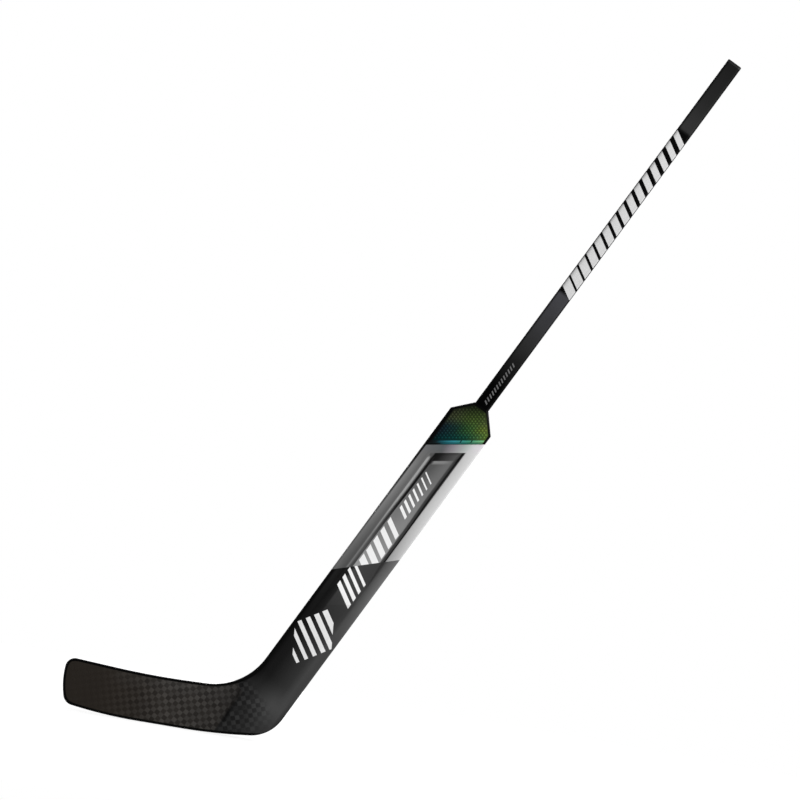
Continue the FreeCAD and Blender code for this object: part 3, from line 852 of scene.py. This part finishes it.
def add_dome(bm, point, normal):
    """One low round dot on the panel."""
    side = normal.orthogonal().normalized()
    other = normal.cross(side)
    circles = []
    for reach, lift in DOT_RINGS:
        circle = []
        for corner in range(DOT_CORNERS):
            angle = 2 * math.pi * corner / DOT_CORNERS
            offset = side * math.cos(angle) + other * math.sin(angle)
            place = point + offset * DOT_RADIUS * reach + normal * DOT_HEIGHT * lift
            circle.append(bm.verts.new(place))
        circles.append(circle)
    crown = bm.verts.new(point + normal * DOT_HEIGHT)
    for low, high in zip(circles, circles[1:]):
        for corner in range(DOT_CORNERS):
            after = (corner + 1) % DOT_CORNERS
            bm.faces.new((low[corner], low[after], high[after], high[corner]))
    for corner in range(DOT_CORNERS):
        bm.faces.new((circles[-1][corner], circles[-1][(corner + 1) % DOT_CORNERS], crown))


def grip_places():
    """Heights and offsets of the dots, in staggered rows along the lower edge of the panel."""
    slant_sine = SLOT_SLANT * SLOT_SQUARE
    for row in range(DOT_ROWS):
        rise = row * DOT_ROW_RISE
        for column in range(-DOT_COLUMNS, DOT_COLUMNS + 1):
            run = (column + 0.5 * (row % 2)) * DOT_PITCH
            height = GRIP_BOTTOM + run * slant_sine + rise * SLOT_SQUARE
            across = rise * slant_sine - run * SLOT_SQUARE
            if rise > TRIM_TOP + DOT_RADIUS:
                yield height, across


def grip_dots(end, side, material):
    """Raised dots over one soft panel."""
    tree = node_tree("shoulder_grip_" + end)
    bm = bmesh.new()
    keep_off = DOT_RADIUS + DOT_MARGIN
    turns = [math.pi / 4 * step for step in range(8)]
    for height, across in grip_places():
        under = surface_under(tree, side, height, across)
        around = [
            surface_under(tree, side, height + keep_off * math.cos(turn), across + keep_off * math.sin(turn))
            for turn in turns
        ]
        if under is None or None in around:
            continue
        add_dome(bm, *under)
    new_piece("grip_dots_" + end, bm, material)


def trim_lift(rise, across):
    """How far the trim stands off the panel at a place."""
    lift = -TRIM_SINK
    for low, high, crest in TRIM_RIBS:
        if low < rise < high:
            lift = crest * math.sin(math.pi * (rise - low) / (high - low))
    if rise > TRIM_RIBS[1][0]:
        nearest = min(abs(across - notch) for notch in TRIM_NOTCHES)
        if nearest < TRIM_NOTCH_WIDTH / 2:
            lift = 0.0
    return lift


def grip_trim(end, side, material):
    """Two ribs along the lower edge of one soft panel, the upper one with two notches."""
    tree = node_tree("shoulder_grip_" + end)
    bm = bmesh.new()
    grid = []
    for column in range(TRIM_COLUMNS + 1):
        across = GRIP_HALF_WIDTH * (2 * column / TRIM_COLUMNS - 1) * TRIM_WIDTH_SHARE
        line = []
        for row in range(TRIM_ROWS + 1):
            rise = TRIM_BOTTOM + (TRIM_TOP - TRIM_BOTTOM) * row / TRIM_ROWS
            height = GRIP_BOTTOM - across * SLOT_SLANT + rise / SLOT_SQUARE
            under = surface_under(tree, side, height, across)
            if under is None:
                line.append(None)
                continue
            point, normal = under
            line.append(bm.verts.new(point + normal * trim_lift(rise, across)))
        grid.append(line)
    for left, right in zip(grid, grid[1:]):
        for row in range(TRIM_ROWS):
            corners = (left[row], left[row + 1], right[row + 1], right[row])
            if None not in corners:
                bm.faces.new(corners if side > 0 else corners[::-1])
    new_piece("grip_trim_" + end, bm, material)


def soft_lamp(name, aim, offset, energy):
    """A large lamp that faces the stick."""
    light = bpy.data.lights.new(name, "AREA")
    light.shape = "RECTANGLE"
    light.size = LAMP_WIDTH
    light.size_y = LAMP_HEIGHT
    light.energy = energy
    lamp = bpy.data.objects.new(name, light)
    scene.collection.objects.link(lamp)
    lamp.location = aim + offset
    lamp.rotation_euler = (-offset).to_track_quat("-Z", "Y").to_euler()


def camera_and_lamps():
    """A far camera square to the face, rolled as in the photograph, with a lamp before and one behind."""
    pixel = FRAME_WIDTH / FRAME_PIXELS
    camera = bpy.data.cameras.new("camera")
    camera.lens = LENS
    camera.sensor_width = SENSOR
    camera.clip_end = VIEW_END
    holder = bpy.data.objects.new("camera", camera)
    scene.collection.objects.link(holder)
    right = Vector((math.cos(CAMERA_ROLL), 0.0, math.sin(CAMERA_ROLL)))
    upward = Vector((-math.sin(CAMERA_ROLL), 0.0, math.cos(CAMERA_ROLL)))
    back = right.cross(upward)
    aim = CAMERA_AIM + (upward - right) * pixel / 2
    place = aim + back * FRAME_WIDTH * LENS / SENSOR
    turn = Matrix((right, upward, back)).transposed().to_4x4()
    holder.matrix_world = Matrix.Translation(place) @ turn
    scene.camera = holder
    soft_lamp("key", aim, KEY_OFFSET, KEY_POWER)
    soft_lamp("fill", aim, FILL_OFFSET, FILL_POWER)


def dark_card():
    """A graded card before the face that only shows in gloss, dark on the blade side."""
    bm = bmesh.new()
    bmesh.ops.create_grid(bm, x_segments=1, y_segments=1, size=1.0)
    mesh = bpy.data.meshes.new("card")
    bm.to_mesh(mesh)
    bm.free()
    card = bpy.data.objects.new("card", mesh)
    card.location = CARD_PLACE
    card.rotation_euler = (math.radians(90), 0.0, 0.0)
    card.scale = CARD_SCALE
    scene.collection.objects.link(card)
    card.visible_camera = False
    card.visible_diffuse = False
    card.visible_transmission = False
    card.visible_shadow = False
    material = bpy.data.materials.new("card")
    material.use_nodes = True
    tree = material.node_tree
    place = tree.nodes.new("ShaderNodeTexCoord")
    parts = tree.nodes.new("ShaderNodeSeparateXYZ")
    level = tree.nodes.new("ShaderNodeMapRange")
    level.interpolation_type = "SMOOTHSTEP"
    level.inputs["From Min"].default_value = CARD_FADE[0]
    level.inputs["From Max"].default_value = CARD_FADE[1]
    level.inputs["To Min"].default_value = CARD_GLOW[0]
    level.inputs["To Max"].default_value = CARD_GLOW[1]
    glow = tree.nodes.new("ShaderNodeEmission")
    tree.links.new(place.outputs["Object"], parts.inputs[0])
    tree.links.new(parts.outputs[0], level.inputs["Value"])
    tree.links.new(level.outputs[0], glow.inputs["Strength"])
    tree.links.new(glow.outputs[0], tree.nodes["Material Output"].inputs["Surface"])
    mesh.materials.append(material)


def seen_share(tree):
    """1 for the rays that show the background."""
    path = tree.nodes.new("ShaderNodeLightPath")
    total = path.outputs["Is Camera Ray"]
    for name in ("Is Glossy Ray", "Is Transmission Ray"):
        node = tree.nodes.new("ShaderNodeMath")
        node.operation = "MAXIMUM"
        tree.links.new(total, node.inputs[0])
        tree.links.new(path.outputs[name], node.inputs[1])
        total = node.outputs[0]
    return total


def white_world():
    """Soft grey light, white where it is seen."""
    world = bpy.data.worlds.new("studio")
    scene.world = world
    world.use_nodes = True
    tree = world.node_tree
    soft = tree.nodes["Background"]
    soft.inputs["Color"].default_value = WHITE
    soft.inputs["Strength"].default_value = WORLD_LEVEL
    white = tree.nodes.new("ShaderNodeBackground")
    white.inputs["Color"].default_value = WHITE
    white.inputs["Strength"].default_value = 1.0
    choice = tree.nodes.new("ShaderNodeMixShader")
    tree.links.new(seen_share(tree), choice.inputs[0])
    tree.links.new(soft.outputs[0], choice.inputs[1])
    tree.links.new(white.outputs[0], choice.inputs[2])
    tree.links.new(choice.outputs[0], tree.nodes["World Output"].inputs["Surface"])


def pale_floor():
    """Round white floor that keeps the shadow of the stick."""
    bm = bmesh.new()
    bmesh.ops.create_circle(bm, cap_ends=True, segments=FLOOR_CORNERS, radius=FLOOR_RADIUS)
    mesh = bpy.data.meshes.new("floor")
    bm.to_mesh(mesh)
    bm.free()
    floor = bpy.data.objects.new("floor", mesh)
    floor.location = FLOOR_PLACE
    scene.collection.objects.link(floor)
    material = bpy.data.materials.new("floor")
    material.use_nodes = True
    tree = material.node_tree
    surface = tree.nodes["Principled BSDF"]
    surface.inputs["Base Color"].default_value = FLOOR_TONE
    surface.inputs["Roughness"].default_value = 1.0
    surface.inputs["Specular IOR Level"].default_value = 0.0
    glow = tree.nodes.new("ShaderNodeEmission")
    strength = tree.nodes.new("ShaderNodeMath")
    strength.operation = "MULTIPLY"
    strength.inputs[1].default_value = FLOOR_GLOW
    tree.links.new(seen_share(tree), strength.inputs[0])
    tree.links.new(strength.outputs[0], glow.inputs["Strength"])
    total = tree.nodes.new("ShaderNodeAddShader")
    tree.links.new(surface.outputs[0], total.inputs[0])
    tree.links.new(glow.outputs[0], total.inputs[1])
    tree.links.new(total.outputs[0], tree.nodes["Material Output"].inputs["Surface"])
    mesh.materials.append(material)


dress_nodes()
dot_skin = grip_skin("grip_dot_skin", 0.0, 0.5)
trim_skin = grip_trim_skin()
for end, side in (("front", -1.0), ("rear", 1.0)):
    grip_dots(end, side, dot_skin)
    grip_trim(end, side, trim_skin)
camera_and_lamps()
dark_card()
white_world()
pale_floor()
scene.view_settings.view_transform = "Standard"
